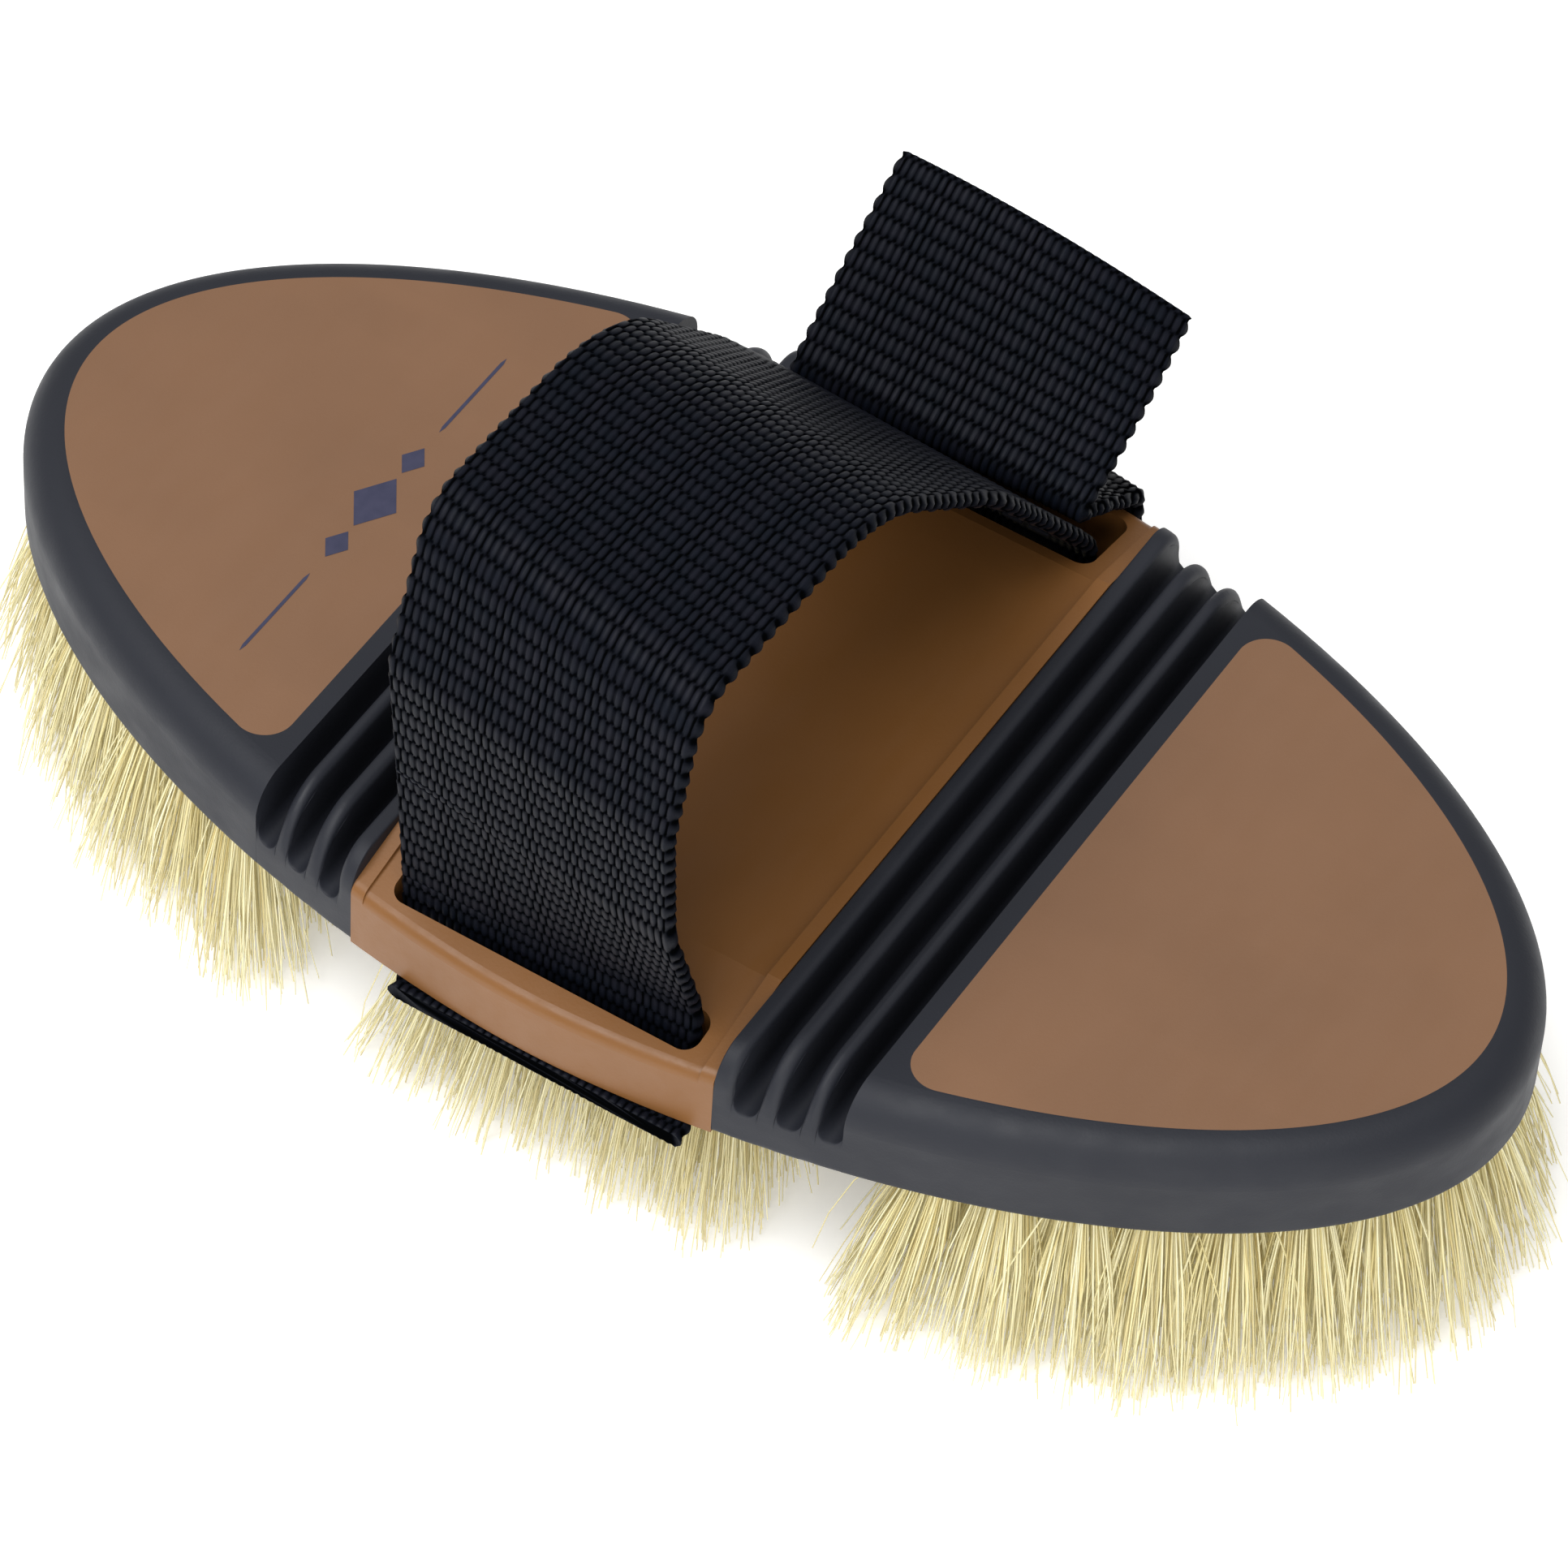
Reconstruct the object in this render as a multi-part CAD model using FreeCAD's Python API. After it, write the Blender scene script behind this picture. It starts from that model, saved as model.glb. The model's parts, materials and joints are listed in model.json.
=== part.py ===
import FreeCAD, Part
import math
import os
from FreeCAD import Vector

# Flexible body brush for grooming horses: a tan centre deck and two tan end plates, joined by
# navy rubber rims and bellows, tufted underneath, with a webbing hand strap over the deck.
# The origin is the centre of the brush on the plane of the bristle tips. +X runs along the brush
# towards its front end, +Z up, and the strap's free tail hangs out on the +Y side. Millimetres.

# Plan outline: half width = HALF_WIDTH * sqrt(1 - (|x| / HALF_LENGTH) ** OUTLINE_POWER)
HALF_LENGTH = 100.0
HALF_WIDTH = 52.1
OUTLINE_POWER = 1.79
OUTLINE_POINTS = 64

# Heights
BRISTLE_LENGTH = 26.0
BODY_HEIGHT = 13.0
BOTTOM = BRISTLE_LENGTH
TOP = BOTTOM + BODY_HEIGHT
RIM_ROUNDING = 4.8
RIM_FOOT_ROUNDING = 0.8

# Where the sections meet, as distances from the centre along X
DECK_EDGE = 24.5
END_EDGE = 39.8
BAND_WIDTH = 1.8

# Bellows: three grooves between two ribs, cut down to a web that bends
GROOVE_CENTRES = (28.25, 33.35, 38.2)
GROOVE_WIDTH = 3.1
WEB_HEIGHT = 5.0

# End plates, flush in the rims, and the bristle boards under them
PLATE_EDGE = 42.2
PLATE_INSET = 5.0
PLATE_THICKNESS = 3.0
PLATE_CORNER = 3.8
BOARD_INSET = 3.2
BOARD_EDGE = 43.0
BOARD_RECESS = 0.6
BOARD_THICKNESS = 6.9
CENTRE_BOARD_HALF_LENGTH = 21.5
CENTRE_BOARD_HALF_WIDTH = 36.8

# Tufts of bristle, each held in a blind hole by a flat wire staple
TUFT_PITCH = 8.5
TUFT_ROOT_RADIUS = 2.1
TUFT_TIP_RADIUS = 3.6
TUFT_ROOT_DEPTH = 3.6
TUFT_HOLE_CLEARANCE = 0.05
TUFT_RING_INSET = 6.8
TUFT_RING_EDGE = 46.8
TUFT_RINGS = 5
CENTRE_TUFTS_BESIDE = (2, 4)
STAPLE_SIZE = (3.9, 0.4, 1.6)
STAPLE_CLEARANCE = 0.1

# Deck: lowered between its two edge bands, falling to both sides. The far slot is wider than the
# near one, because the strap only loops through it.
DECK_DROP = 0.8
DECK_FLAT_HALF = 36.0
SIDE_FALL = 4.0
SIDE_ROUNDING = 1.6
SLOT_LENGTH = 41.0
NEAR_SLOT = (-48.5, -43.0)
FAR_SLOT = (37.6, 48.5)
SLOT_CORNER = 2.0
HEM_RECESS_INNER = -38.4
HEM_RECESS_DEPTH = 2.5

# Hand strap webbing. Each turn of its arch is (y, height above the deck's edge bands, bend radius).
STRAP_WIDTH = 40.0
STRAP_THICKNESS = 2.2
HEM_GAP = 0.2
HEM_END = -52.4
HEM_FOLD = -39.8
LOOP_GAP = 0.5
NEAR_RISE = -45.6
FAR_FALL = 41.0
FAR_TURN = 53.5
OVER_BAR_DROP = 2.4
ARCH_TURNS = ((NEAR_RISE, 0.0, 8.0), (-50.0, 20.0, 25.0), (-51.6, 39.0, 9.0), (-45.6, 57.0, 7.0),
              (-10.0, 56.0, 32.0), (16.0, 31.2, 60.0), (29.0, 15.2, 30.0), (36.8, 4.2, 12.0),
              (FAR_FALL, -1.5, 4.0))
FOLD_CLIMB = 4.0
FOLD_RADIUS = 1.6
FOLD_CLEARANCE = 0.3
FOLD_GAP = 10.0
FOLD_STUB = 0.05
LOOP_BEND = 2.4
TAIL_LENGTH = 30.0
TAIL_ANGLE = 35.0
TAIL_SKEW = 8.0

# Sewing thread
THREAD_RADIUS = 0.35
STITCH_LENGTH = 2.6
STITCH_PITCH = 3.6
STITCH_COUNT = 10
STITCH_CLEARANCE = 0.05
HEM_STITCH_ROWS = (1.8, 4.4)
FOLD_STITCH_CLIMB = 5.0

# Working limits: points closer than SAME_POINT are one point, sizes under FLAT count as none,
# cutting tools pass a face by OVERCUT, and REACH is farther than any part of the brush
SAME_POINT = 1e-6
FLAT = 1e-3
OVERCUT = 1.0
REACH = 2 * HALF_LENGTH


def box(x_low, x_high, y_low, y_high, z_low, z_high):
    """A block between the given limits."""
    corner = Vector(x_low, y_low, z_low)
    return Part.makeBox(x_high - x_low, y_high - y_low, z_high - z_low, corner)


def between_x(shape, x_low, x_high):
    """The part of a shape that lies between two X planes."""
    return shape.common(box(x_low, x_high, -REACH, REACH, -REACH, REACH))


def outline_point(turn, inset):
    """A point of the plan outline, moved inwards along its normal by inset."""
    along = math.cos(turn)
    x = math.copysign(HALF_LENGTH * abs(along) ** (2 / OUTLINE_POWER), along)
    y = HALF_WIDTH * math.sin(turn)
    slope_x = OUTLINE_POWER * abs(x / HALF_LENGTH) ** (OUTLINE_POWER - 1) / HALF_LENGTH
    normal = Vector(math.copysign(slope_x, along), 2 * y / HALF_WIDTH ** 2, 0)
    normal.normalize()
    return Vector(x, y, 0) - normal * inset


def outline_slab(inset, z_low, z_high):
    """The whole plan outline, inset all round, as a slab between two heights."""
    step = 2 * math.pi / OUTLINE_POINTS
    points = [outline_point((i + 0.5) * step, inset) for i in range(OUTLINE_POINTS)]
    curve = Part.BSplineCurve()
    curve.interpolate(Points=points, PeriodicFlag=True)
    face = Part.Face(Part.Wire(curve.toShape()))
    face.translate(Vector(0, 0, z_low))
    return face.extrude(Vector(0, 0, z_high - z_low))


def edges_at_height(shape, height):
    """Edges that lie wholly at one height."""
    level = [e for e in shape.Edges if e.BoundBox.ZLength < FLAT]
    return [e for e in level if abs(e.BoundBox.ZMin - height) < FLAT]


def upright_edges(shape):
    """Straight edges that run along Z."""
    upright = [e for e in shape.Edges if max(e.BoundBox.XLength, e.BoundBox.YLength) < FLAT]
    return [e for e in upright if e.BoundBox.ZLength > FLAT]


def rubber_blank():
    """The outer shape that the rims and bellows share, with its rounded top edge."""
    blank = outline_slab(0, BOTTOM, TOP)
    blank = blank.makeFillet(RIM_ROUNDING, edges_at_height(blank, TOP))
    return blank.makeFillet(RIM_FOOT_ROUNDING, edges_at_height(blank, BOTTOM))


def end_plate():
    """The flush tan plate of the front end."""
    plate = between_x(outline_slab(PLATE_INSET, TOP - PLATE_THICKNESS, TOP), PLATE_EDGE, REACH)
    return plate.makeFillet(PLATE_CORNER, upright_edges(plate))


def end_board_blank(z_low, z_high):
    """The outer shape of the front bristle board between two heights."""
    return between_x(outline_slab(BOARD_INSET, z_low, z_high), BOARD_EDGE, REACH)


def end_rim(blank):
    """The rubber rim of the front end, with the pockets for its plate and its board."""
    rim = between_x(blank, END_EDGE, REACH)
    rim = rim.cut(end_plate())
    board_top = BOTTOM + BOARD_RECESS + BOARD_THICKNESS
    return rim.cut(end_board_blank(BOTTOM - OVERCUT, board_top))


def groove(centre):
    """A round-bottomed groove across the bellows."""
    radius = GROOVE_WIDTH / 2
    floor = BOTTOM + WEB_HEIGHT
    slot = box(centre - radius, centre + radius, -REACH, REACH, floor + radius, TOP + OVERCUT)
    root = Part.makeCylinder(radius, 2 * REACH, Vector(centre, -REACH, floor + radius), Vector(0, 1, 0))
    return slot.fuse(root)


def bellows(blank):
    """The ribbed rubber web between the deck and the front end."""
    web = between_x(blank, DECK_EDGE, END_EDGE)
    for centre in GROOVE_CENTRES:
        web = web.cut(groove(centre))
    return web


def deck_profile(drop):
    """Cross-section prism of the deck: flat in the middle, then falling to both sides."""
    top = TOP - drop
    side = HALF_WIDTH + OVERCUT
    half = [(side, BOTTOM), (side, TOP - SIDE_FALL - drop / 2), (DECK_FLAT_HALF, top)]
    corners = half + [(-y, z) for y, z in reversed(half)]
    points = [Vector(-REACH, y, z) for y, z in corners]
    return Part.Face(Part.makePolygon(points + points[:1])).extrude(Vector(2 * REACH, 0, 0))


def deck_layer(drop):
    """The deck's outer shape, its top lowered by drop, with rounded edges along both sides."""
    layer = between_x(outline_slab(0, BOTTOM, TOP), -DECK_EDGE, DECK_EDGE).common(deck_profile(drop))
    upper = [e for e in layer.Edges if e.BoundBox.ZMin > BOTTOM + FLAT and e.BoundBox.XLength > DECK_EDGE]
    ridges = [e for e in upper if abs(e.CenterOfMass.y) > FAR_SLOT[1]]
    return layer.makeFillet(SIDE_ROUNDING, ridges)


def strap_slot(y_low, y_high):
    """A through slot for the strap between two Y limits."""
    slot = box(-SLOT_LENGTH / 2, SLOT_LENGTH / 2, y_low, y_high, 0, TOP + OVERCUT)
    return slot.makeFillet(SLOT_CORNER, upright_edges(slot))


def centre_board_blank(z_low, z_high):
    """The outer shape of the centre bristle board between two heights."""
    x_half = CENTRE_BOARD_HALF_LENGTH
    y_half = CENTRE_BOARD_HALF_WIDTH
    return box(-x_half, x_half, -y_half, y_half, z_low, z_high)


def centre_deck():
    """The tan centre moulding, with its slots and the pockets underneath."""
    floor_edge = DECK_EDGE - BAND_WIDTH
    floor = between_x(deck_layer(DECK_DROP), -floor_edge, floor_edge)
    edge_layer = deck_layer(0)
    front_band = between_x(edge_layer, floor_edge, DECK_EDGE)
    rear_band = between_x(edge_layer, -DECK_EDGE, -floor_edge)
    deck = floor.fuse([front_band, rear_band]).removeSplitter()
    deck = deck.cut([strap_slot(*NEAR_SLOT), strap_slot(*FAR_SLOT)])
    hem_recess = box(-SLOT_LENGTH / 2, SLOT_LENGTH / 2, NEAR_SLOT[0], HEM_RECESS_INNER,
                     BOTTOM - OVERCUT, BOTTOM + HEM_RECESS_DEPTH)
    board_top = BOTTOM + BOARD_RECESS + BOARD_THICKNESS
    return deck.cut([hem_recess, centre_board_blank(BOTTOM - OVERCUT, board_top)])


def end_tuft_places():
    """Tuft centres of the front end: nested D-shaped rings that follow the outline."""
    outer = [outline_point(math.radians(i), TUFT_RING_INSET) for i in range(-90, 91)]
    outer = [p for p in outer if p.x > TUFT_RING_EDGE]
    start = Vector(TUFT_RING_EDGE, 0, 0)
    reach = max(p.y for p in outer)
    places = []
    for ring in range(TUFT_RINGS):
        scale = 1 - ring * TUFT_PITCH / reach
        path = Part.makePolygon([start + (p - start) * scale for p in outer])
        count = max(2, round(path.Length / TUFT_PITCH) + 1)
        places += path.discretize(Number=count)
    return places


def centre_tuft_places():
    """Tuft centres of the centre board: a square grid, with so many tufts each side of its middle."""
    along, across = (range(-beside, beside + 1) for beside in CENTRE_TUFTS_BESIDE)
    return [Vector(i * TUFT_PITCH, j * TUFT_PITCH, 0) for i in along for j in across]


def tuft_top():
    """Height of the bound root end of a tuft."""
    return BOTTOM + BOARD_RECESS + TUFT_ROOT_DEPTH


def drilled_board(blank, places):
    """A bristle board with a blind hole for each tuft and its staple."""
    depth = tuft_top() + STAPLE_SIZE[2] + 2 * STAPLE_CLEARANCE
    radius = TUFT_ROOT_RADIUS + TUFT_HOLE_CLEARANCE
    holes = [Part.makeCylinder(radius, depth, Vector(p.x, p.y, 0)) for p in places]
    return blank.cut(holes)


def tufts(places):
    """Bundles of bristle that stand at the given places, spreading towards their tips."""
    profile = [(0, 0), (TUFT_TIP_RADIUS, 0), (TUFT_ROOT_RADIUS, BOTTOM + BOARD_RECESS),
               (TUFT_ROOT_RADIUS, tuft_top()), (0, tuft_top()), (0, 0)]
    face = Part.Face(Part.makePolygon([Vector(r, 0, z) for r, z in profile]))
    tuft = face.revolve(Vector(0, 0, 0), Vector(0, 0, 1), 360)
    return Part.makeCompound([tuft.translated(p) for p in places])


def staples(places):
    """Flat wire staples, one above each tuft's bound end."""
    length, width, height = STAPLE_SIZE
    low = tuft_top() + STAPLE_CLEARANCE
    blade = box(-length / 2, length / 2, -width / 2, width / 2, low, low + height)
    return Part.makeCompound([blade.translated(p) for p in places])


def yz(y, z):
    """A point or direction in the YZ plane."""
    return Vector(0, y, z)


def unit(vector):
    """A vector's direction."""
    return Vector(vector).normalize()


def left_of(direction):
    """The direction a quarter turn to the left, in the YZ plane."""
    return yz(-direction.z, direction.y)


def shifted_path(points, radii, shift):
    """A path parallel to the given one, shifted to its left, as lines joined by arcs."""
    headings = [unit(b - a) for a, b in zip(points, points[1:])]
    place = points[0] + left_of(headings[0]) * shift
    edges = []
    for corner, radius, before, after in zip(points[1:-1], radii, headings, headings[1:]):
        turn = math.copysign(1, left_of(before).dot(after))
        bend = radius - shift * turn
        tangent = bend * math.tan(before.getAngle(after) / 2)
        sides = left_of(before) + left_of(after)
        corner = corner + sides * (shift / (1 + before.dot(after)))
        arc_start = corner - before * tangent
        arc_end = corner + after * tangent
        centre = arc_start + left_of(before) * (turn * bend)
        middle = centre + unit(corner - centre) * bend
        # Two bends that meet, as in a flat fold, have no straight between them
        if place.distanceToPoint(arc_start) > SAME_POINT:
            edges.append(Part.LineSegment(place, arc_start).toShape())
        edges.append(Part.Arc(arc_start, middle, arc_end).toShape())
        place = arc_end
    end = points[-1] + left_of(headings[-1]) * shift
    edges.append(Part.LineSegment(place, end).toShape())
    return edges


def webbing(points, radii):
    """A strip of webbing whose middle follows a path in the YZ plane with the given bends."""
    half = STRAP_THICKNESS / 2
    right = shifted_path(points, radii, -half)
    left = shifted_path(points, radii, half)
    heading = unit(points[1] - points[0])
    last_heading = unit(points[-1] - points[-2])
    start_cap = [points[0] + left_of(heading) * side for side in (-half, half)]
    end_cap = [points[-1] + left_of(last_heading) * side for side in (-half, half)]
    caps = [Part.LineSegment(*start_cap).toShape(), Part.LineSegment(*end_cap).toShape()]
    outline = Part.Wire(Part.__sortEdges__(right + left + caps))
    strip = Part.Face(outline).extrude(Vector(STRAP_WIDTH, 0, 0))
    return strip.translated(Vector(-STRAP_WIDTH / 2, 0, 0))


def over_bar():
    """The turn of the strap above the far bar's outer edge."""
    return yz(FAR_TURN, TOP - OVER_BAR_DROP)


def up_arch():
    """Direction up the arch from the far slot."""
    upper, lower = ARCH_TURNS[-3:-1]
    return unit(yz(upper[0] - lower[0], upper[1] - lower[1]))


def arch_place(climb, stand_off):
    """A point so far up the arch from its last turn, and so far outwards from its middle."""
    y, height, _ = ARCH_TURNS[-2]
    return yz(y, TOP + height) + up_arch() * climb - left_of(up_arch()) * stand_off


def fold_centre():
    """Centre of the round fold at the root of the tail, which rests against the arch."""
    return arch_place(FOLD_CLIMB, STRAP_THICKNESS + FOLD_RADIUS + FOLD_CLEARANCE)


def to_bar():
    """Direction from the fold back over the far bar."""
    return unit(over_bar() - fold_centre())


def fold_corner():
    """Where the strap would turn back into its tail if the fold were sharp."""
    inward = unit(to_bar() + tail_heading())
    return fold_centre() - inward * (FOLD_RADIUS / math.sin(inward.getAngle(to_bar())))


def tail_heading():
    """Direction of the tail, before it is skewed."""
    slope = math.radians(TAIL_ANGLE)
    return yz(math.cos(slope), math.sin(slope))


def hem_height():
    """Height of the middle of the hem's lower layer, just under the near bar."""
    return BOTTOM - HEM_GAP - STRAP_THICKNESS / 2


def hand_strap():
    """The strap from its hem under the near bar, over the hand and round the far bar."""
    hem_low = hem_height()
    hem_high = hem_low + STRAP_THICKNESS + HEM_GAP
    hem_bend = (hem_high - hem_low) / 2
    loop_low = BOTTOM - LOOP_GAP - STRAP_THICKNESS / 2
    points = [yz(HEM_END, hem_low), yz(HEM_FOLD, hem_low), yz(HEM_FOLD, hem_high),
              yz(NEAR_RISE, hem_high)]
    radii = [hem_bend, hem_bend, hem_bend]
    for y, height, radius in ARCH_TURNS:
        points.append(yz(y, TOP + height))
        radii.append(radius)
    points += [yz(FAR_FALL, loop_low), yz(FAR_TURN, loop_low), over_bar(),
               fold_corner() + to_bar() * FOLD_GAP]
    radii += [LOOP_BEND] * 3
    return webbing(points, radii)


def strap_tail():
    """The strap's free end: the round fold against the arch, then the tail that stands off it."""
    tangent = FOLD_RADIUS / math.tan(to_bar().getAngle(tail_heading()) / 2)
    root = fold_corner() + to_bar() * (tangent + FOLD_STUB)
    free_end = fold_corner() + tail_heading() * TAIL_LENGTH
    tail = webbing([root, fold_corner(), free_end], [FOLD_RADIUS])
    tail.rotate(fold_centre(), left_of(up_arch()), -TAIL_SKEW)
    return tail


def stitch_row(seat, outward):
    """A row of stitches across the strap, lying on a face with the given outward normal."""
    first = -(STITCH_COUNT - 1) * STITCH_PITCH / 2 - STITCH_LENGTH / 2
    centre = seat + outward * (THREAD_RADIUS + STITCH_CLEARANCE)
    stitch = Part.makeCylinder(THREAD_RADIUS, STITCH_LENGTH, centre, Vector(1, 0, 0))
    return [stitch.translated(Vector(first + i * STITCH_PITCH, 0, 0)) for i in range(STITCH_COUNT)]


def hem_stitches():
    """Two rows of stitches under the hem."""
    low = hem_height() - STRAP_THICKNESS / 2
    rows = [stitch_row(yz(NEAR_RISE + offset, low), yz(0, -1)) for offset in HEM_STITCH_ROWS]
    return Part.makeCompound(rows[0] + rows[1])


def fold_stitches():
    """A row of stitches on the arch's inner face, where the tail's fold is sewn to it."""
    seat = arch_place(FOLD_STITCH_CLIMB, -STRAP_THICKNESS / 2)
    return Part.makeCompound(stitch_row(seat, left_of(up_arch())))


def save(name, shape):
    """Write one sub-part."""
    shape.exportStep(os.path.join("parts", name + ".step"))


def mirrored(shape):
    """The same piece on the rear side of the brush."""
    return shape.mirror(Vector(0, 0, 0), Vector(1, 0, 0))


def main():
    os.makedirs("parts", exist_ok=True)
    blank = rubber_blank()
    end_places = end_tuft_places()
    centre_places = centre_tuft_places()
    board_low = BOTTOM + BOARD_RECESS
    board_high = board_low + BOARD_THICKNESS
    end_pieces = {
        "rim": end_rim(blank),
        "plate": end_plate(),
        "bellows": bellows(blank),
        "bristle_board": drilled_board(end_board_blank(board_low, board_high), end_places),
        "tufts": tufts(end_places),
        "tuft_staples": staples(end_places),
    }
    for name, shape in end_pieces.items():
        save("front_" + name, shape)
        save("rear_" + name, mirrored(shape))
    save("centre_deck", centre_deck())
    save("centre_bristle_board", drilled_board(centre_board_blank(board_low, board_high), centre_places))
    save("centre_tufts", tufts(centre_places))
    save("centre_tuft_staples", staples(centre_places))
    save("hand_strap", hand_strap())
    save("hem_stitches", hem_stitches())
    save("fold_stitches", fold_stitches())
    save("strap_tail", strap_tail())


main()
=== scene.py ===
import json
import math

import bmesh
import bpy
import numpy as np
from mathutils import Matrix, Vector


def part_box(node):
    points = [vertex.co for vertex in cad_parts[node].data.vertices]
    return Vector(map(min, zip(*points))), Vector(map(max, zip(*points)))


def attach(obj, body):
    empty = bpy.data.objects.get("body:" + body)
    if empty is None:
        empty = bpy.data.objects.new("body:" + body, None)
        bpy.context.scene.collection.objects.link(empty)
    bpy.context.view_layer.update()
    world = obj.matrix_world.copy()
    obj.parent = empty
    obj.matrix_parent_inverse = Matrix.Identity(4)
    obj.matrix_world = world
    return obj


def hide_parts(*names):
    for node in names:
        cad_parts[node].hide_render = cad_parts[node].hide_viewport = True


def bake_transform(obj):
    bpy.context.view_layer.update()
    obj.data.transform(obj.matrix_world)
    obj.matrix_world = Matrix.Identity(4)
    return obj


# Looks of the flexible body brush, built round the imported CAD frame. Lengths are in millimetres
# until mesh_piece() turns them into metres. +X is the front end, +Y the side of the strap's tail.

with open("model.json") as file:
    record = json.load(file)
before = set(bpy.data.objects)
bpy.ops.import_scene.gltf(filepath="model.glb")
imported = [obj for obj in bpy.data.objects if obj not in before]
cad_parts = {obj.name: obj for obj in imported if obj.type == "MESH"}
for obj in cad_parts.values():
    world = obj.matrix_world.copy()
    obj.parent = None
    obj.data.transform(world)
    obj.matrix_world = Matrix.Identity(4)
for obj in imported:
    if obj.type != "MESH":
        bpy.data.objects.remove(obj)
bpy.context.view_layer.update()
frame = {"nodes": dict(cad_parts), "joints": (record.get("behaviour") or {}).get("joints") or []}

MM = 0.001


def cad_box(node):
    """Lowest and highest corner of a CAD node, in millimetres."""
    low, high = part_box(node)
    return np.array(low) / MM, np.array(high) / MM


def joint(name):
    """A CAD joint's record."""
    return [j for j in frame["joints"] if j["name"] == name][0]


# Body: sizes from the frame, the outline's law, and how round the rim's edge and foot are
TOP = cad_box("centre_deck")[1][2]
BOTTOM = cad_box("centre_deck")[0][2]
DECK_EDGE, END_EDGE = (cad_box("front_bellows")[i][0] for i in (0, 1))
HALF_LENGTH = cad_box("front_rim")[1][0]
HALF_WIDTH = cad_box("centre_deck")[1][1]
OUTLINE_POWER = 1.79
RIM_ROUNDING = 4.8
FOOT_ROUNDING = 0.8

# Bellows: groove centres measured from the deck, how round the ribs and the collar are, and how far
# below the rim's top the skin ends
GROOVES = (3.75, 8.85, 13.7)
GROOVE_RADIUS = 1.55
WEB_HEIGHT = 5.0
RIB_ROUNDING = 0.85
RIB_END_ROUNDING = TOP - BOTTOM - WEB_HEIGHT
COLLAR_CORNER = 0.3
RIM_SEAT = 1.0

# Bellows mesh: spacing of its points round the sides, how far from a rounded edge the two points
# beside it stand, and the number of points on each stretch of its section and of its grooves
SIDE_STEP = 0.4
EDGE_SUPPORT = (0.7, 2.0)
TOP_POINTS = 12
SHOULDER_POINTS = 12
SIDE_POINTS = 8
FOOT_POINTS = 5
UNDER_POINTS = 8
COLLAR_POINTS = 3
RIB_POINTS = 5
WALL_POINTS = 4
GROOVE_POINTS = 9

# Edges of carried-over pieces, softened by a bevel
DECK_SOFTENING = 0.25
RIM_SOFTENING = 0.5
PLATE_SOFTENING = 0.2
BEVEL_SEGMENTS = 3
BEVEL_ANGLE = 35.0

# Hand strap: its size, and the hem under the near bar: where across the brush it ends and folds, the
# gap between its two layers, and how far askew its end lies
STRAP_WIDTH = 40.0
STRAP_THICKNESS = 2.2
HEM_END = -52.4
HEM_FOLD = -39.8
HEM_GAP = 0.2
HEM_SLIP = 2.2

# Turns of the strap's arch as (y, height above the deck's bands, bend radius, and how far the front
# edge stands out in y and in height from the middle; the rear edge is its mirror image)
NEAR_RISE = -45.7
ARCH_TURNS = ((NEAR_RISE, 0.0, 8.0, 0.6, 0.0), (-50.0, 20.0, 25.0, -2.2, 0.0),
              (-51.6, 39.0, 9.0, -1.9, -0.6), (-45.6, 57.0, 7.0, -3.1, -1.4),
              (-10.0, 56.0, 32.0, -2.4, -1.6), (16.0, 31.2, 60.0, -0.9, -0.3),
              (29.0, 15.2, 30.0, -0.9, -0.2), (36.8, 4.2, 12.0, 0.0, 0.0), (41.0, -1.5, 4.0, 0.0, 0.0))

# Loop round the far bar: where it turns up, how far below the deck's top it turns back, its gap below
# the bar and its bend radius; and the points on each stretch of the strap's path
FAR_TURN = 53.5
OVER_BAR_DROP = 2.4
LOOP_GAP = 0.5
LOOP_BEND = 2.4
PATH_POINTS = 20

# Fold where the strap turns back into its tail: its radius, how far from it the strap's mesh gives
# way to the tail's, how far the two lap, and how far short of it the skew is complete
FOLD_RADIUS = 1.6
FOLD_GAP = 10.0
TAIL_LAP = 0.4
FOLD_EASE = 2.0

# Tail: its length past the fold, its slope, skew and twist in degrees, and how far its middle bows up
TAIL_LENGTH = 28.3
TAIL_ANGLE = 28.0
TAIL_SKEW = 8.0
TAIL_TWIST = -18.4
TAIL_CROWN = 4.4

# How far across the webbing starts to follow the deck's curved side, and the distance it takes
BAR_START = 44.0
BAR_RUN = 6.0

# Webbing: rounded cells in staggered rows, with their half length and half width as shares of their
# pitch, and a selvedge knotted once a row: its reach, the angles of its points, the share of it left
# between knots, and its lowest and added weave height
CELLS_ACROSS = 38
CELL_COLUMNS = 4
CELL_LENGTH = 0.62
CELL_WIDTH = 0.54
ROW_PITCH = 2.35
ROW_SAMPLES = 7
CELL_RELIEF = 0.4
SELVEDGE = 0.8
SELVEDGE_TURNS = (60, 25, -25, -60)
KNOT_VALLEY = 0.3
KNOT_YARN = (0.35, 0.5)

# Bristle: one bristle's size, the spread of thicknesses, and the three groups' random seeds
BRISTLES_PER_TUFT = 180
BRISTLE_RADIUS = 0.15
BRISTLE_TIP_RADIUS = 0.09
BRISTLE_SEGMENTS = 4
BRISTLE_SIDES = 3
THICKNESS = (0.75, 1.25)
ROOT_DEPTH = 3.0
CENTRE_SEED, FRONT_SEED, REAR_SEED = 11, 12, 13

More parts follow.
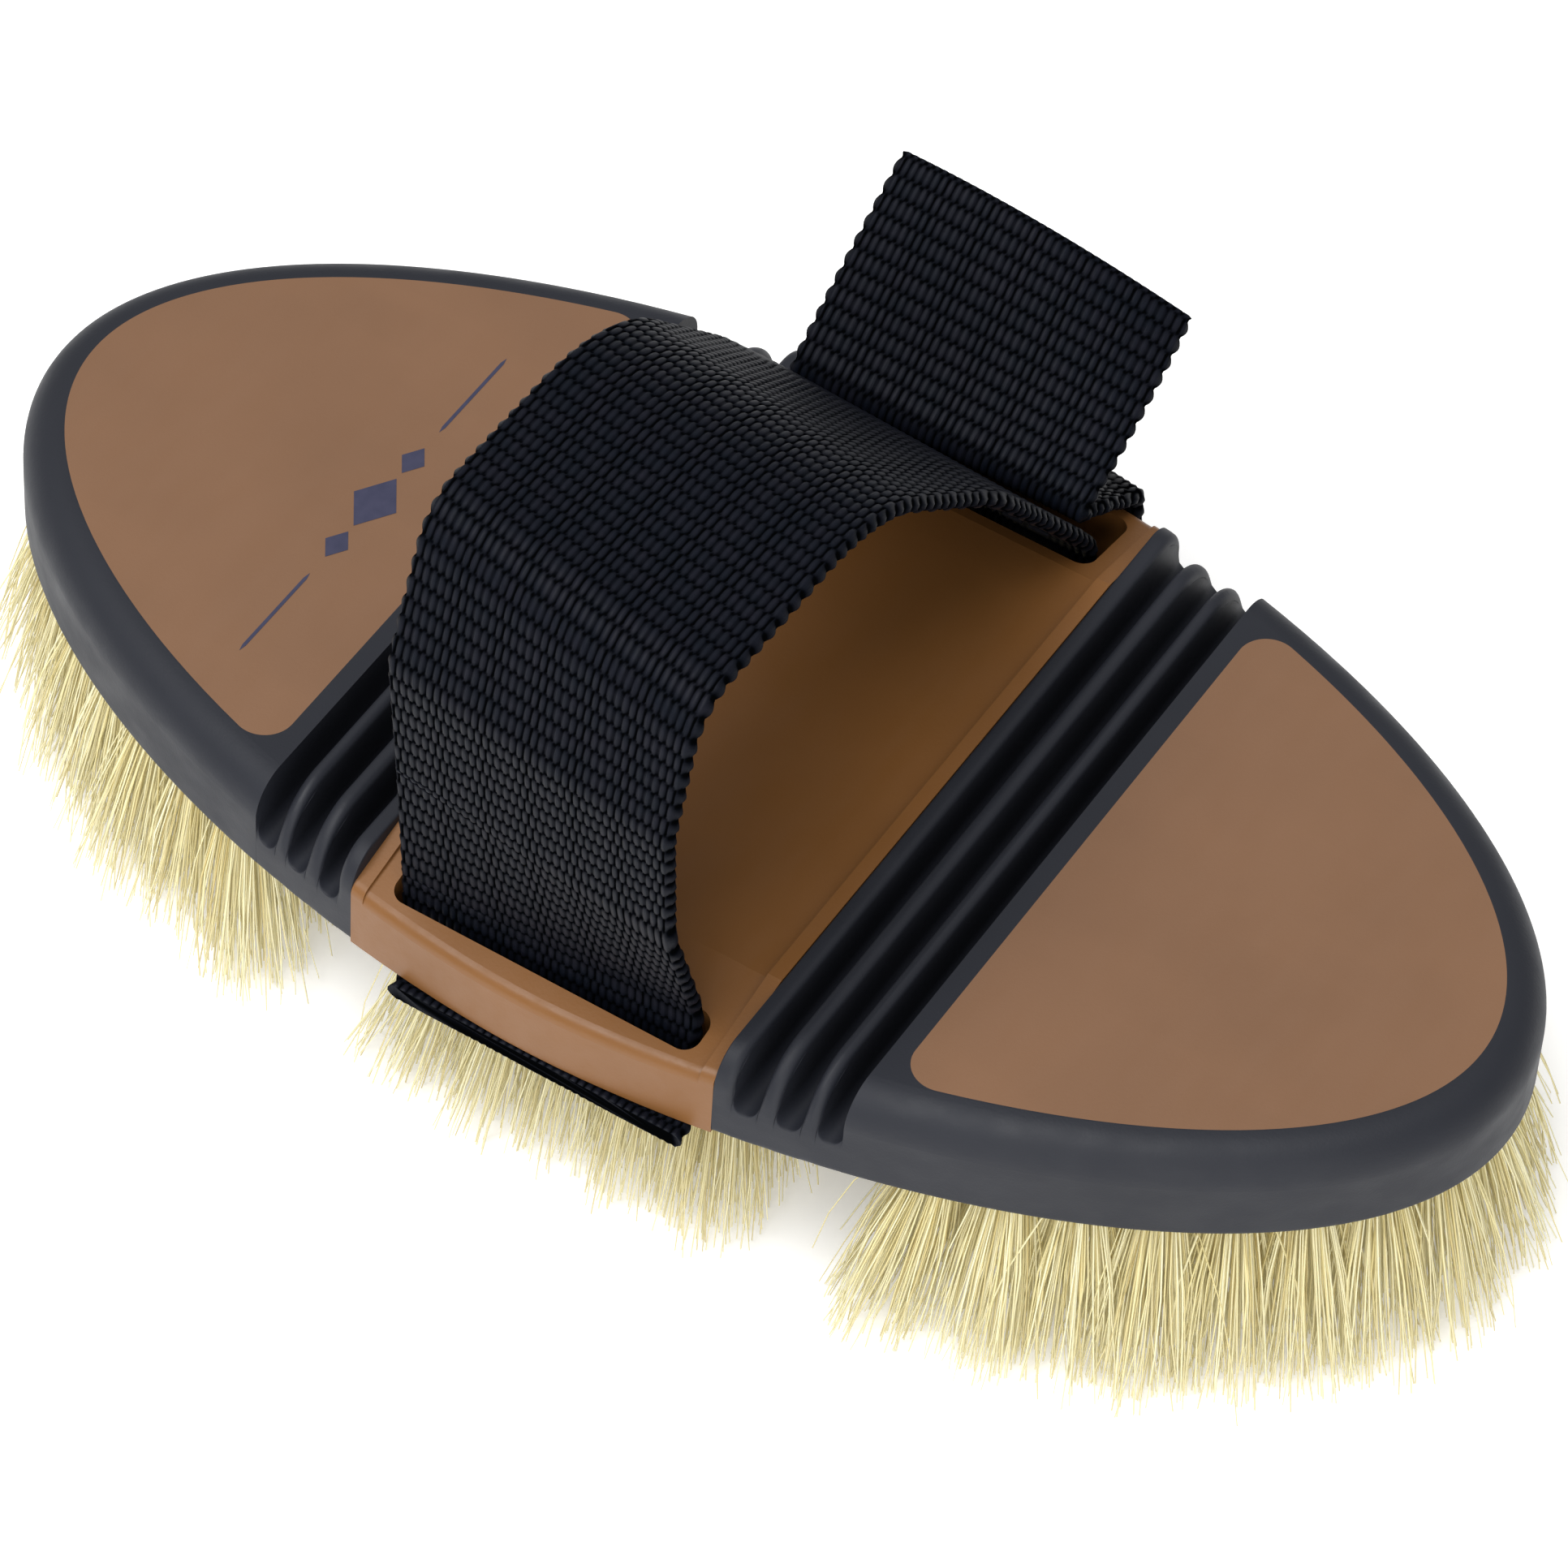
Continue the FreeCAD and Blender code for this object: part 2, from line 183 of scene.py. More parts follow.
# How far the bristles of a tuft fan out, how far each one strays from that, how unevenly they end,
# how many are stray, and the powers by which they bend out on their way down
ROOT_SPREAD = 2.0
TIP_SPREAD = 5.2
TIP_SCATTER = 0.9
BOW = 0.7
TIP_HEIGHT = 0.3
TIP_UNEVEN = 1.3
STRAY_SHARE = 0.04
STRAY_SCATTER = 3.0
STRAY_LIFT = 2.0
SPREAD_CURVE = 0.6
LEAN_CURVE = 1.15

# How far the outermost tufts lean out at their tips, how much tufts differ, and over what distance
# the tufts of an end lean back towards the bellows
CENTRE_LEAN = (4.0, 9.0)
FRONT_LEAN = 5.5
REAR_LEAN = 3.5
LEAN_SCATTER = 0.6
BACK_RUN = 14.0

# The CAD tufts' bound ends: points closer than RING_GAP belong to one tuft
RING_GAP = 2.0
RING_BAND = 0.2

# Printed ornament: its centre on the rear plate, two rules across it as (from, to), and three
# lozenges as (distance across, half length)
ORNAMENT_PLACE = (-53.6, -2.2)
INK_LIFT = 0.04
RULES = ((-27.0, -14.5), (14.5, 27.0))
RULE_HALF_WIDTH = 0.22
RULE_POINT = 1.0
LOZENGES = ((-8.0, 1.6), (0.0, 3.0), (8.0, 1.6))
LOZENGE_STRETCH = 1.5

# Stage: floor and its glow, the surround's strength, and each lamp's place, size in metres and power
FLOOR_REACH = 4000.0
FLOOR_DROP = 0.3
FLOOR_GLOW = 0.3
SURROUND_STRENGTH = 0.45
LAMP_AIM = (0, 0, 30)
KEY_LAMP = ((-150, -450, 1200), 1.0, 18.0)
FILL_LAMP = ((700, -900, 350), 0.9, 5.0)

# Camera, from the fitted view
CAMERA_AIM = (6.3, -6.2, 31.8)
CAMERA_AZIMUTH = 29.34
CAMERA_ELEVATION = 49.88
CAMERA_ROLL = 3.94
CAMERA_DISTANCE = 971.5
CAMERA_LENS = 192.7
CAMERA_SENSOR = 36.0
CAMERA_RANGE = 20.0


def mesh_piece(name, points, faces, smooth=True):
    """A mesh object from points in millimetres."""
    mesh = bpy.data.meshes.new(name)
    faces = faces.tolist() if isinstance(faces, np.ndarray) else faces
    mesh.from_pydata((np.asarray(points) * MM).tolist(), [], faces)
    mesh.polygons.foreach_set("use_smooth", [smooth] * len(mesh.polygons))
    piece = bpy.data.objects.new(name, mesh)
    bpy.context.scene.collection.objects.link(piece)
    return piece


def point_values(piece, name, values):
    """Store one number per point, for the materials to read."""
    attribute = piece.data.attributes.new(name, "FLOAT", "POINT")
    attribute.data.foreach_set("value", np.asarray(values, np.float32).ravel())


def point_vectors(piece, name, values):
    """Store one vector per point, for the materials to read."""
    attribute = piece.data.attributes.new(name, "FLOAT_VECTOR", "POINT")
    attribute.data.foreach_set("vector", np.asarray(values, np.float32).ravel())


def grid_quads(rows, columns, wrap=False):
    """Faces of a grid of points; wrap joins its last column to its first."""
    index = np.arange(rows * columns).reshape(rows, columns)
    if wrap:
        index = np.hstack([index, index[:, :1]])
    corners = (index[:-1, :-1], index[:-1, 1:], index[1:, 1:], index[1:, :-1])
    return np.stack(corners, -1).reshape(-1, 4)


def unit(vectors):
    """Directions of one or more vectors."""
    vectors = np.asarray(vectors, float)
    return vectors / np.linalg.norm(vectors, axis=-1, keepdims=True)


def left_of(directions):
    """Directions a quarter turn to the left, in the YZ plane."""
    return np.stack([-directions[..., 1], directions[..., 0]], -1)


def smooth(value):
    """0 to 1 with a soft start and finish."""
    value = np.clip(value, 0, 1)
    return value * value * (3 - 2 * value)


# ---------------------------------------------------------------- materials


class Surface:
    """A Principled material and short ways to wire its nodes."""

    def __init__(self, name, roughness, specular=0.5):
        self.material = bpy.data.materials.new(name)
        self.material.use_nodes = True
        self.tree = self.material.node_tree
        self.shader = self.tree.nodes["Principled BSDF"]
        self.set("Roughness", roughness)
        self.set("Specular IOR Level", specular)

    def plug(self, socket, value):
        """Link a socket to a socket, or give it a plain value."""
        if isinstance(value, bpy.types.NodeSocket):
            self.tree.links.new(value, socket)
        else:
            socket.default_value = value

    def set(self, name, value):
        """Give one of the shader's inputs a value or a socket."""
        self.plug(self.shader.inputs[name], value)

    def node(self, kind, **settings):
        """A new node with the given settings."""
        node = self.tree.nodes.new(kind)
        for name, value in settings.items():
            setattr(node, name, value)
        return node

    def place(self, stretch=(1, 1, 1)):
        """Object coordinates, in metres, stretched along each axis."""
        mapping = self.node("ShaderNodeMapping")
        self.plug(mapping.inputs["Vector"], self.node("ShaderNodeTexCoord").outputs["Object"])
        mapping.inputs["Scale"].default_value = stretch
        return mapping.outputs["Vector"]

    def attribute(self, name, output="Fac"):
        """A value stored on the mesh's points."""
        return self.node("ShaderNodeAttribute", attribute_name=name).outputs[output]

    def noise(self, scale, detail=2.0, vector=None):
        """Soft noise, by default over the object's own coordinates."""
        noise = self.node("ShaderNodeTexNoise")
        self.plug(noise.inputs["Vector"], self.place() if vector is None else vector)
        noise.inputs["Scale"].default_value = scale
        noise.inputs["Detail"].default_value = detail
        return noise.outputs["Fac"]

    def span(self, value, low, high, to_low=0.0, to_high=1.0):
        """Map a value's range to another range."""
        node = self.node("ShaderNodeMapRange")
        for name, number in zip(("Value", "From Min", "From Max", "To Min", "To Max"),
                                (value, low, high, to_low, to_high)):
            self.plug(node.inputs[name], number)
        return node.outputs["Result"]

    def mix(self, factor, a, b, blend="MIX"):
        """Blend two colours."""
        node = self.node("ShaderNodeMix", data_type="RGBA", blend_type=blend)
        self.plug(node.inputs["Factor"], factor)
        self.plug(node.inputs[6], a)
        self.plug(node.inputs[7], b)
        return node.outputs[2]

    def bump(self, height, distance, strength):
        """A normal that follows a height, which is 1 at the given distance in metres."""
        node = self.node("ShaderNodeBump")
        self.plug(node.inputs["Height"], height)
        node.inputs["Distance"].default_value = distance
        node.inputs["Strength"].default_value = strength
        return node.outputs["Normal"]


def rgb(colour, gain=1.0):
    """A linear colour from a screen colour of 0 to 255."""
    linear = [((c / 255 + 0.055) / 1.055) ** 2.4 for c in colour]
    return tuple(c * gain for c in linear) + (1.0,)


def moulded_plastic(name, colour, roughness):
    """Satin moulded plastic: fine grain, faint flow marks and a little handling wear."""
    surface = Surface(name, roughness, 0.4)
    clouds = surface.noise(35.0, 3.0)
    flow = surface.noise(60.0, 2.0, surface.place((0.5, 2.5, 1.0)))
    base = surface.mix(surface.span(clouds, 0.3, 0.7), rgb(colour, 0.93), rgb(colour, 1.06))
    base = surface.mix(surface.span(flow, 0.55, 0.8, 0.0, 0.12), base, rgb(colour, 1.25))
    surface.set("Base Color", base)
    scuffs = surface.noise(420.0, 4.0, surface.place((1.0, 0.25, 1.0)))
    surface.set("Roughness", surface.span(scuffs, 0.3, 0.75, roughness - 0.05, roughness + 0.08))
    grain = surface.noise(2600.0, 2.0)
    surface.set("Normal", surface.bump(grain, 0.00003, 0.5))
    return surface.material


def soft_rubber(name, colour):
    """Matte overmoulded rubber: fine grain with faint paler rubs."""
    surface = Surface(name, 0.55, 0.3)
    clouds = surface.noise(30.0, 3.0)
    rubs = surface.noise(160.0, 4.0, surface.place((1.0, 1.0, 2.0)))
    base = surface.mix(surface.span(clouds, 0.3, 0.7), rgb(colour, 0.9), rgb(colour, 1.08))
    base = surface.mix(surface.span(rubs, 0.6, 0.85, 0.0, 0.25), base, rgb(colour, 1.5))
    surface.set("Base Color", base)
    surface.set("Roughness", surface.span(rubs, 0.3, 0.7, 0.5, 0.62))
    grain = surface.noise(3200.0, 2.0)
    surface.set("Normal", surface.bump(grain, 0.00003, 0.6))
    return surface.material


def woven_webbing(name):
    """Dense polyester webbing: rounded cells of twisted navy yarn, painted down to near black towards the
    low gaps between them as painted shade.
    """
    surface = Surface(name, 0.6, 0.1)
    yarn = surface.attribute("yarn")
    cloth = surface.attribute("cloth", "Vector")
    shade = surface.noise(0.35, 2.0, cloth)
    tone = surface.noise(1.1, 1.0, cloth)
    crown = surface.mix(surface.span(shade, 0.35, 0.65), rgb((14, 18, 27)), rgb((21, 22, 31)))
    crown = surface.mix(surface.span(tone, 0.3, 0.7, 0.0, 0.5), crown, rgb((9, 13, 21)))
    # Painted shade: the colour falls to near black where the weave is low, in the gaps between cells and
    # between the selvedge's knots
    surface.set("Base Color", surface.mix(surface.span(yarn, 0.5, 0.97), rgb((1, 2, 3)), crown))
    surface.set("Roughness", surface.span(yarn, 0.3, 0.9, 0.85, 0.5))
    surface.set("Specular IOR Level", surface.span(yarn, 0.6, 1.0, 0.0, 0.1))
    stretched = surface.node("ShaderNodeMapping")
    surface.plug(stretched.inputs["Vector"], cloth)
    stretched.inputs["Scale"].default_value = (7.0, 0.8, 1.0)
    stretched.inputs["Rotation"].default_value = (0.0, 0.0, 0.35)
    fibres = surface.noise(1.0, 2.0, stretched.outputs["Vector"])
    surface.set("Normal", surface.bump(fibres, 0.0001, 0.5))
    return surface.material


def plant_bristle(name):
    """Pale plant fibre, golden at the root and greyer at the tip, each bristle with its own tone, with a
    faint painted glow that lifts the shade between the tufts.
    """
    surface = Surface(name, 0.5, 0.4)
    tone = surface.attribute("tone")
    reach = surface.attribute("reach")
    body = surface.mix(tone, rgb((222, 207, 144)), rgb((245, 239, 200)))
    body = surface.mix(surface.span(tone, 0.0, 0.15, 0.6, 0.0), body, rgb((168, 142, 74)))
    tip = surface.mix(surface.span(reach, 0.3, 1.0, 0.0, 0.5), body, rgb((214, 207, 172)))
    root = surface.mix(surface.span(reach, 0.0, 0.2, 0.5, 0.0), tip, rgb((150, 128, 74)))
    surface.set("Base Color", root)
    # Painted glow: the bristles' own colour is emitted faintly to lift the shade between the tufts
    surface.set("Emission Color", root)
    surface.set("Emission Strength", 0.07)
    streaks = surface.noise(900.0, 2.0, surface.place((1.0, 1.0, 0.1)))
    surface.set("Roughness", surface.span(streaks, 0.3, 0.7, 0.42, 0.6))
    return surface.material


def thread(name):
    """Bonded sewing thread with a fine twist."""
    surface = Surface(name, 0.7, 0.1)
    twist = surface.noise(2200.0, 1.0, surface.place((1.0, 2.0, 2.0)))
    surface.set("Base Color", surface.mix(twist, rgb((8, 9, 13)), rgb((17, 18, 25))))
    surface.set("Normal", surface.bump(twist, 0.0001, 0.6))
    return surface.material


def drawn_wire(name):
    """Drawn flat steel wire."""
    surface = Surface(name, 0.35)
    surface.set("Metallic", 1.0)
    lines = surface.noise(1500.0, 2.0, surface.place((0.1, 1.0, 1.0)))
    surface.set("Base Color", surface.mix(lines, rgb((150, 150, 150)), rgb((190, 188, 184))))
    surface.set("Roughness", surface.span(lines, 0.3, 0.7, 0.3, 0.45))
    return surface.material


def printed_ink(name):
    """Navy pad-printed ink, slightly uneven."""
    surface = Surface(name, 0.5, 0.3)
    patch = surface.noise(700.0, 3.0)
    surface.set("Base Color", surface.mix(patch, rgb((46, 48, 70)), rgb((62, 62, 84))))
    return surface.material


PLATE_PLASTIC = moulded_plastic("plate_plastic", (119, 87, 63), 0.45)
# The deck's copy of the tan plastic is darker and more saturated than the plates': painted shade from the
# strap arching over it
SHADED_DECK_PLASTIC = moulded_plastic("deck_plastic_painted_shade", (121, 80, 40), 0.42)
BOARD_PLASTIC = moulded_plastic("board_plastic", (120, 84, 54), 0.5)
RUBBER = soft_rubber("navy_rubber", (31, 33, 40))
WEBBING = woven_webbing("woven_webbing")
FIBRE = plant_bristle("plant_bristle")
THREAD = thread("bonded_thread")
WIRE = drawn_wire("drawn_wire")
INK = printed_ink("printed_ink")


# ---------------------------------------------------------------- carried-over CAD nodes


def carry_over(node, material, edge=0.0):
    """Keep a CAD node, with its finish and, if an edge width is given, softened edges."""
    piece = frame["nodes"][node]
    piece.data.materials.clear()
    piece.data.materials.append(material)
    if edge:
        bevel = piece.modifiers.new("soft edges", "BEVEL")
        bevel.width = edge * MM
        bevel.segments = BEVEL_SEGMENTS
        bevel.limit_method = "ANGLE"
        bevel.angle_limit = math.radians(BEVEL_ANGLE)
        bevel.harden_normals = True
    return piece


# ---------------------------------------------------------------- bellows


def outline_half_width(x):
    """Half width of the brush's outline at a distance along it."""
    return HALF_WIDTH * np.sqrt(1 - (np.abs(x) / HALF_LENGTH) ** OUTLINE_POWER)


def arc(centre, radius, start, end, count):
    """Points along an arc, angles in degrees."""
    angles = np.radians(np.linspace(start, end, count))
    return np.array(centre) + radius * np.stack([np.cos(angles), np.sin(angles)], -1)


def bellows_stations():
    """The bellows' section along the brush, from the deck to the rim.

    Each station is (x, height, rounding of its ends, how far its ends stand in from the outline).
    """
    web = BOTTOM + WEB_HEIGHT
    floor = web + GROOVE_RADIUS
    shoulder = TOP - RIB_ROUNDING
    wall = np.linspace(shoulder, floor, WALL_POINTS + 2)[1:-1]
    corner = (DECK_EDGE + COLLAR_CORNER, TOP - COLLAR_CORNER)
    collar = arc(corner, COLLAR_CORNER, 180, 90, COLLAR_POINTS)
    stations = [(DECK_EDGE, web, RIM_ROUNDING, 0.0)]
    stations += [(x, z, RIM_ROUNDING, 0.0) for x, z in collar]
    end = RIM_ROUNDING
    for number, offset in enumerate(GROOVES):
        rear_wall = DECK_EDGE + offset - GROOVE_RADIUS
        front_wall = DECK_EDGE + offset + GROOVE_RADIUS
        down = arc((rear_wall - RIB_ROUNDING, shoulder), RIB_ROUNDING, 90, 0, RIB_POINTS)
        stations += [(x, z, end, TOP - z) for x, z in down]
        stations += [(rear_wall, z, end, RIB_ROUNDING) for z in wall]
        root = arc((DECK_EDGE + offset, floor), GROOVE_RADIUS, 180, 360, GROOVE_POINTS)
        stations += [(x, z, RIB_END_ROUNDING, RIB_ROUNDING) for x, z in root]
        if number < len(GROOVES) - 1:
            end = RIB_END_ROUNDING
            up = arc((front_wall + RIB_ROUNDING, shoulder), RIB_ROUNDING, 180, 90, RIB_POINTS)
            stations += [(front_wall, z, end, RIB_ROUNDING) for z in wall[::-1]]
            stations += [(x, z, end, TOP - z) for x, z in up]
    return stations + [(END_EDGE, TOP - RIM_SEAT, RIM_ROUNDING, 0.0)]


def side_section(half_width, height, rounding, inset):
    """Half a cross-section at one station: (y, z) from the top's middle round to the underside."""
    web = BOTTOM + WEB_HEIGHT
    corner = np.array([half_width - rounding, TOP - rounding])
    rise = np.clip((height - corner[1]) / (rounding - inset), 0, 1)
    shoulder = arc(corner, rounding - inset, math.degrees(math.asin(rise)), 0, SHOULDER_POINTS)
    shoulder[:, 1] = np.minimum(shoulder[:, 1], height)
    side = np.linspace(shoulder[-1], (half_width - inset, web), SIDE_POINTS)
    upper = np.concatenate([shoulder, side])
    upper[:, 0] += inset * (1 - smooth((upper[:, 1] - web) / (2 * GROOVE_RADIUS)))
    foot_centre = (half_width - FOOT_ROUNDING, BOTTOM + FOOT_ROUNDING)
    foot = arc(foot_centre, FOOT_ROUNDING, 0, -90, FOOT_POINTS)
    edge = np.concatenate([upper, foot])
    steps = np.r_[0, np.cumsum(np.linalg.norm(np.diff(edge, axis=0), axis=1))]
    wanted = np.linspace(0, steps[-1], int((TOP - BOTTOM + RIM_ROUNDING) / SIDE_STEP))
    edge = np.stack([np.interp(wanted, steps, edge[:, k]) for k in (0, 1)], -1)
    near, far = EDGE_SUPPORT
    flat = np.r_[np.linspace(0, edge[0, 0] - far, TOP_POINTS), edge[0, 0] - near]
    under = edge[-1, 0] - np.r_[near, np.linspace(far, edge[-1, 0] - far, UNDER_POINTS)]
    top = np.column_stack([flat, np.full(len(flat), height)])
    underside = np.column_stack([under, np.full(len(under), BOTTOM)])
    return np.concatenate([top, edge, underside])


def build_bellows(side):
    """The ribbed rubber web at one end, as one lofted skin."""
    rows = []
    for x, height, rounding, inset in bellows_stations():
        half = side_section(outline_half_width(x), height, rounding, inset)
        loop = np.concatenate([half[:0:-1] * (-1, 1), half])
        rows.append(np.column_stack([np.full(len(loop), side * x), loop]))
    rows = np.array(rows)
    quads = grid_quads(*rows.shape[:2], wrap=True)
    if side > 0:
        quads = quads[:, ::-1]
    end = "front" if side > 0 else "rear"
    skin = mesh_piece(end + "_bellows_skin", rows.reshape(-1, 3), quads)
    skin.data.materials.append(RUBBER)
    level = skin.modifiers.new("round", "SUBSURF")
    level.levels = level.render_levels = 1
    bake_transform(skin)
    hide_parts(end + "_bellows")


# ---------------------------------------------------------------- webbing


def bent_path(corners, radii):
    """Points along straight runs joined by arcs; equal turn lists give matching points."""
    corners = [np.asarray(c, float) for c in corners]
    place = corners[0]
    runs = []
    for k, radius in enumerate(radii):
        before = unit(corners[k + 1] - corners[k])
        after = unit(corners[k + 2] - corners[k + 1])
        angle = math.acos(np.clip(before @ after, -1, 1))
        turn = np.sign(before[0] * after[1] - before[1] * after[0])
        tangent = radius * math.tan(angle / 2)
        start = corners[k + 1] - before * tangent
        centre = start + left_of(before) * turn * radius
        sweep = np.linspace(0, turn * angle, PATH_POINTS)
        spoke = start - centre
        runs.append(place + (start - place) * np.linspace(0, 1, PATH_POINTS)[:, None])
        runs.append(centre + np.outer(np.cos(sweep), spoke) + np.outer(np.sin(sweep), left_of(spoke)))
        place = corners[k + 1] + after * tangent
    runs.append(place + (corners[-1] - place) * np.linspace(0, 1, PATH_POINTS)[:, None])
    return np.concatenate(runs)


def weave_height(across, along):
    """Height of the weave from 0 to 1: rounded cells, each row half a cell across from the last."""
    cell = STRAP_WIDTH / CELLS_ACROSS
    row = np.round(along / ROW_PITCH)
    height = np.zeros(np.broadcast(across, along).shape)
    for near in (row - 1, row, row + 1):
        shift = (near % 2) * cell / 2
        off = (across - shift + cell / 2) % cell - cell / 2
        reach = (along - near * ROW_PITCH) / (CELL_LENGTH * ROW_PITCH)
        fill = 1 - (off / (CELL_WIDTH * cell)) ** 2 - np.abs(reach) ** 3
        height = np.maximum(height, np.sqrt(np.clip(fill, 0, 1)))
    return height


def webbing_rows(along):
    """Across places, offsets from the middle and weave heights, for rows at distances along."""
    along = along[:, None]
    half = STRAP_WIDTH / 2 - SELVEDGE
    face = np.linspace(-half, half, CELLS_ACROSS * CELL_COLUMNS + 1)[None, :]
    back = face[:, ::-2]
    ground = STRAP_THICKNESS / 2 - CELL_RELIEF
    front_height = weave_height(face, along)
    back_height = weave_height(back + ROW_PITCH, along + ROW_PITCH)
    turns = np.radians(SELVEDGE_TURNS)[None, :]
    beat = np.abs(np.cos(np.pi * along / ROW_PITCH))
    knot = SELVEDGE * (KNOT_VALLEY + (1 - KNOT_VALLEY) * beat)
    edge_across = half + knot * np.cos(turns) + 0 * along
    edge_offset = ground * np.sin(turns) + 0 * along
    across = np.hstack([face + 0 * along, edge_across, back + 0 * along, -edge_across[:, ::-1]])
    offset = np.hstack([ground + CELL_RELIEF * front_height, edge_offset,
                        -ground - CELL_RELIEF * back_height, edge_offset[:, ::-1]])
    edge_height = KNOT_YARN[0] + KNOT_YARN[1] * beat + 0 * turns
    height = np.hstack([front_height, edge_height, back_height, edge_height])
    return across, offset, height


def build_webbing(name, rear_path, front_path, start_along, shape=None):
    """A strip of webbing between the paths of its rear and front selvedges in the YZ plane.

    shape, if given, moves the points, from their places and their distances along the strip.
    """
    middle = (rear_path + front_path) / 2
    steps = np.r_[0, np.cumsum(np.linalg.norm(np.diff(middle, axis=0), axis=1))]
    keep = np.r_[True, np.diff(steps) > 1e-6]
    steps, rear_path, front_path = steps[keep], rear_path[keep], front_path[keep]
    count = int(round(steps[-1] / ROW_PITCH * ROW_SAMPLES)) + 1
    along = np.linspace(0, steps[-1], count)
    rear_edge, front_edge = (np.stack([np.interp(along, steps, path[:, k]) for k in (0, 1)], -1)
                             for path in (rear_path, front_path))
    across, offset, height = webbing_rows(along + start_along)
    share = (across / STRAP_WIDTH + 0.5)[..., None]
    centre = rear_edge[:, None] * (1 - share) + front_edge[:, None] * share
    rear_heading, front_heading = (np.gradient(edge, axis=0)[:, None] for edge in (rear_edge, front_edge))
    heading = rear_heading * (1 - share) + front_heading * share
    place = centre + left_of(unit(heading)) * offset[..., None]
    points = np.concatenate([across[..., None], place], -1)
    if shape:
        points = shape(points, along[:, None])
    rows, columns = across.shape
    quads = grid_quads(rows, columns, wrap=True)
    strip = mesh_piece(name, points.reshape(-1, 3), quads)
    caps = [list(range(columns))[::-1], list(range((rows - 1) * columns, rows * columns))]
    cap_mesh(strip, caps)
    point_values(strip, "yarn", height)
    cloth = np.stack([across, np.broadcast_to(along[:, None] + start_along, across.shape), offset], -1)
    point_vectors(strip, "cloth", cloth.reshape(-1, 3))
    strip.data.materials.append(WEBBING)
    return strip


def cap_mesh(piece, loops):
    """Close a mesh over loops of its points."""
    work = bmesh.new()
    work.from_mesh(piece.data)
    work.verts.ensure_lookup_table()
    for loop in loops:
        work.faces.new([work.verts[i] for i in loop]).smooth = False
    work.to_mesh(piece.data)
    work.free()


FOLD_CENTRE = np.array(joint("tail_fold")["pos_m"][1:]) / MM
OVER_BAR = np.array([FAR_TURN, TOP - OVER_BAR_DROP])
TO_BAR = unit(OVER_BAR - FOLD_CENTRE)
TAIL_HEADING = np.array([math.cos(math.radians(TAIL_ANGLE)), math.sin(math.radians(TAIL_ANGLE))])


def fold_corner():
    """Where the strap would turn back into its tail if the fold were sharp."""
    inward = unit(TO_BAR + TAIL_HEADING)
    return FOLD_CENTRE - inward * (FOLD_RADIUS / math.sqrt(1 - (inward @ TO_BAR) ** 2))


def strap_turns(edge):
    """Turns and bend radii of the strap's path; edge is 1 for its front selvedge, -1 for its rear."""
    hem_low = BOTTOM - HEM_GAP - STRAP_THICKNESS / 2
    hem_high = hem_low + STRAP_THICKNESS + HEM_GAP
    loop_low = BOTTOM - LOOP_GAP - STRAP_THICKNESS / 2
    corners = [(HEM_END, hem_low), (HEM_FOLD, hem_low), (HEM_FOLD, hem_high), (NEAR_RISE, hem_high)]
    radii = [(hem_high - hem_low) / 2] * 3
    for y, height, radius, out_y, out_height in ARCH_TURNS:
        corners.append((y + edge * out_y, TOP + height + edge * out_height))
        radii.append(radius)
    corners += [(ARCH_TURNS[-1][0], loop_low), (FAR_TURN, loop_low), OVER_BAR]
    corners += [fold_corner() + TO_BAR * FOLD_GAP]
    radii += [LOOP_BEND] * 3
    return corners, radii


def hug_side(points, share=1.0):
    """Webbing round the far bar follows the deck's curved side."""
    round_bar = smooth((points[..., 1] - BAR_START) / BAR_RUN) * share
    inwards = (HALF_WIDTH - outline_half_width(points[..., 0])) * round_bar
    return points - inwards[..., None] * np.array([0, 1, 0])


def build_hand_strap():
    """The webbing from its hem under the near bar, over the hand and round the far bar."""
    rear, front = (bent_path(*strap_turns(edge)) for edge in (-1, 1))

    def settle(points, along):
        """The hem lies a little askew under its bar, and the loop follows the deck's side."""
        askew = HEM_SLIP * (1 - smooth(along / (HEM_FOLD - HEM_END)))
        return hug_side(points + askew[..., None] * np.array([1, 0, 0]))

    strap = build_webbing("hand_strap_webbing", rear, front, 0.0, settle)
    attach(strap, "centre")
    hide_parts("hand_strap")


def turned(points, centre, axis, angles):
    """Points turned about an axis by an angle each, in radians."""
    axis = unit(axis)
    arm = points - centre
    cosine, sine = np.cos(angles)[..., None], np.sin(angles)[..., None]
    lift = axis * (arm @ axis)[..., None] * (1 - cosine)
    return centre + arm * cosine + np.cross(axis, arm) * sine + lift


